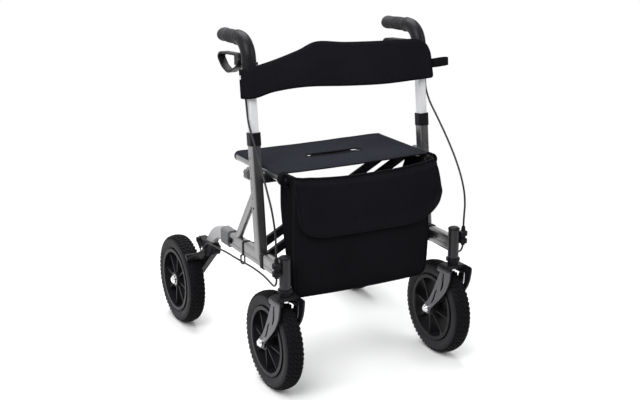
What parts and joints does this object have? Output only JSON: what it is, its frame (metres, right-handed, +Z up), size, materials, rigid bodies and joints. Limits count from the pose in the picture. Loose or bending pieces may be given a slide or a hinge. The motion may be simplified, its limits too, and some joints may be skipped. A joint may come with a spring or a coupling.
{
  "type": "all terrain rollator",
  "caption": "Folding walking frame on large air-type tyres with swivelling slotted front forks, sling seat, hanging bag, backrest band and hand brakes on height-set handles.",
  "frame": {"origin": "on the floor, at the middle of the footprint", "axes": "+Z up, the front faces -Y, +X towards the user's left when walking behind it"},
  "size_m": [0.6186, 0.77, 0.8687],
  "materials": {
    "frame_grey": "metallic satin paint",
    "frame_dark": "metallic satin paint",
    "tube_silver": "satin anodised",
    "cast_black": "black powder coat",
    "fork_grey": "dark grey satin paint",
    "elbow_grey": "soft sheen",
    "collar_grey": "moulded, satin",
    "knob_grey": "moulded, satin",
    "black_plastic": "moulded, fine grain",
    "grip_rubber": "soft matt",
    "cable_sheath": "smooth sheath",
    "bright_steel": "bright plated",
    "rim_black": "moulded, satin gloss",
    "tyre_black": "rubber tread",
    "seat_cloth": "woven, close",
    "bag_cloth": "woven, close",
    "band_cloth": "woven over foam",
    "webbing": "woven strap"
  },
  "bodies": {
    "left_frame": {"left_lower_rail": "frame_grey", "left_head_tube": "frame_dark", "left_post": "frame_grey", "left_strut": "frame_grey", "left_post_collar": "black_plastic", "left_rail_collar": "collar_grey", "left_rear_tube": "tube_silver", "left_rear_leg": "cast_black", "left_head_fittings": "black_plastic", "left_cable_guides": "black_plastic", "left_brake_cable": "cable_sheath", "left_rear_axle": "bright_steel", "left_fold_brackets": "cast_black"},
    "left_handle": {"left_handle_tube": "tube_silver", "left_handle_elbow": "elbow_grey", "left_grip": "grip_rubber", "backrest": "band_cloth"},
    "left_lever": {"left_brake_lever": "black_plastic"},
    "left_knob": {"left_height_knob": "knob_grey"},
    "left_brake": {"left_brake_shoe": "cast_black"},
    "left_caster": {"left_caster_fork": "fork_grey", "left_caster_bolts": "bright_steel"},
    "left_front_wheel": {"left_front_rim": "rim_black", "left_front_tyre": "tyre_black"},
    "left_rear_wheel": {"left_rear_rim": "rim_black", "left_rear_tyre": "tyre_black"},
    "right_frame": {"right_lower_rail": "frame_grey", "right_head_tube": "frame_dark", "right_post": "frame_grey", "right_strut": "frame_grey", "right_post_collar": "black_plastic", "right_rail_collar": "collar_grey", "right_rear_tube": "tube_silver", "right_rear_leg": "cast_black", "right_head_fittings": "black_plastic", "right_cable_guides": "black_plastic", "right_brake_cable": "cable_sheath", "right_rear_axle": "bright_steel", "right_fold_brackets": "cast_black"},
    "right_handle": {"right_handle_tube": "tube_silver", "right_handle_elbow": "elbow_grey", "right_grip": "grip_rubber", "stick_strap": "webbing"},
    "right_lever": {"right_brake_lever": "black_plastic"},
    "right_knob": {"right_height_knob": "knob_grey"},
    "right_brake": {"right_brake_shoe": "cast_black"},
    "right_caster": {"right_caster_fork": "fork_grey", "right_caster_bolts": "bright_steel"},
    "right_front_wheel": {"right_front_rim": "rim_black", "right_front_tyre": "tyre_black"},
    "right_rear_wheel": {"right_rear_rim": "rim_black", "right_rear_tyre": "tyre_black"},
    "arm_outer": {"cross_arm_outer": "cast_black", "right_seat_tube": "cast_black", "cross_pivot": "bright_steel"},
    "arm_inner": {"cross_arm_inner": "cast_black", "left_seat_tube": "cast_black"},
    "sling": {"seat": "seat_cloth", "bag": "bag_cloth"},
    "flap": {"bag_flap": "bag_cloth"}
  },
  "joints": [
    {"name": "fold", "type": "hinge", "parent": "left_frame", "child": "arm_outer", "pos_m": [-0.206, -0.124, 0.308], "axis": [0, -1, 0], "range_deg": [0, 47.8], "deforming": ["seat", "bag", "bag_flap", "backrest"]},
    {"name": "fold_cross_pivot", "type": "hinge", "parent": "arm_outer", "child": "arm_inner", "pos_m": [0, -0.124, 0.419], "axis": [0, -1, 0], "range_deg": [-95.7, 0.1]},
    {"name": "fold_right_frame", "type": "hinge", "parent": "arm_inner", "child": "right_frame", "pos_m": [0.206, -0.124, 0.308], "axis": [0, -1, 0], "range_deg": [-0.1, 47.9]},
    {"name": "fold_sling", "type": "hinge", "parent": "arm_inner", "child": "sling", "pos_m": [-0.206, -0.124, 0.53], "axis": [0, -1, 0], "range_deg": [-0.1, 47.9]},
    {"name": "flap_hinge", "type": "hinge", "parent": "sling", "child": "flap", "pos_m": [0, -0.2913, 0.52], "axis": [-1, 0, 0], "range_deg": [0, 100]},
    {"name": "left_handle_slide", "type": "slide", "parent": "left_frame", "child": "left_handle", "axis": [0, 0.1132, 0.9936], "range_m": [-0.075, 0.04], "deforming": ["left_brake_cable"]},
    {"name": "left_lever_hinge", "type": "hinge", "parent": "left_handle", "child": "left_lever", "pos_m": [-0.242, -0.09826, 0.806], "axis": [1, 0, 0], "range_deg": [0, 10], "stiffness_Nm_per_rad": 1.5},
    {"name": "left_brake_hinge", "type": "hinge", "parent": "left_frame", "child": "left_brake", "pos_m": [-0.242, 0.19968, 0.25284], "axis": [1, 0, 0], "range_deg": [-0.1, 3.4]},
    {"name": "left_knob_turn", "type": "hinge", "parent": "left_frame", "child": "left_knob", "pos_m": [-0.242, -0.16945, 0.52466], "axis": [0, 0.9936, -0.1132], "range_deg": [0, 180]},
    {"name": "left_caster_swivel", "type": "hinge", "parent": "left_frame", "child": "left_caster", "pos_m": [-0.242, -0.322, 0.28], "axis": [0, 0, 1], "continuous": true},
    {"name": "left_front_spin", "type": "hinge", "parent": "left_caster", "child": "left_front_wheel", "pos_m": [-0.242, -0.26, 0.125], "axis": [1, 0, 0], "continuous": true},
    {"name": "left_rear_spin", "type": "hinge", "parent": "left_frame", "child": "left_rear_wheel", "pos_m": [-0.278, 0.26, 0.125], "axis": [1, 0, 0], "continuous": true},
    {"name": "right_handle_slide", "type": "slide", "parent": "right_frame", "child": "right_handle", "axis": [0, 0.1132, 0.9936], "range_m": [-0.0751, 0.0401], "deforming": ["right_brake_cable"]},
    {"name": "right_lever_hinge", "type": "hinge", "parent": "right_handle", "child": "right_lever", "pos_m": [0.242, -0.09826, 0.806], "axis": [1, 0, 0], "range_deg": [0, 10], "stiffness_Nm_per_rad": 1.5},
    {"name": "right_brake_hinge", "type": "hinge", "parent": "right_frame", "child": "right_brake", "pos_m": [0.242, 0.19968, 0.25284], "axis": [1, 0, 0], "range_deg": [-0.1, 3.4]},
    {"name": "right_knob_turn", "type": "hinge", "parent": "right_frame", "child": "right_knob", "pos_m": [0.242, -0.16945, 0.52466], "axis": [0, 0.9936, -0.1132], "range_deg": [0, 180]},
    {"name": "right_caster_swivel", "type": "hinge", "parent": "right_frame", "child": "right_caster", "pos_m": [0.242, -0.322, 0.28], "axis": [0, 0, 1], "continuous": true},
    {"name": "right_front_spin", "type": "hinge", "parent": "right_caster", "child": "right_front_wheel", "pos_m": [0.242, -0.26, 0.125], "axis": [1, 0, 0], "continuous": true},
    {"name": "right_rear_spin", "type": "hinge", "parent": "right_frame", "child": "right_rear_wheel", "pos_m": [0.278, 0.26, 0.125], "axis": [1, 0, 0], "continuous": true}
  ],
  "couplings": [
    {"joint": "fold_cross_pivot", "follows": "fold", "ratio": -2},
    {"joint": "fold_right_frame", "follows": "fold", "ratio": 1},
    {"joint": "fold_sling", "follows": "fold", "ratio": 1},
    {"joint": "left_brake_hinge", "follows": "left_lever_hinge", "ratio": 0.33},
    {"joint": "right_brake_hinge", "follows": "right_lever_hinge", "ratio": 0.33},
    {"joint": "right_handle_slide", "follows": "left_handle_slide", "ratio": 1}
  ]
}
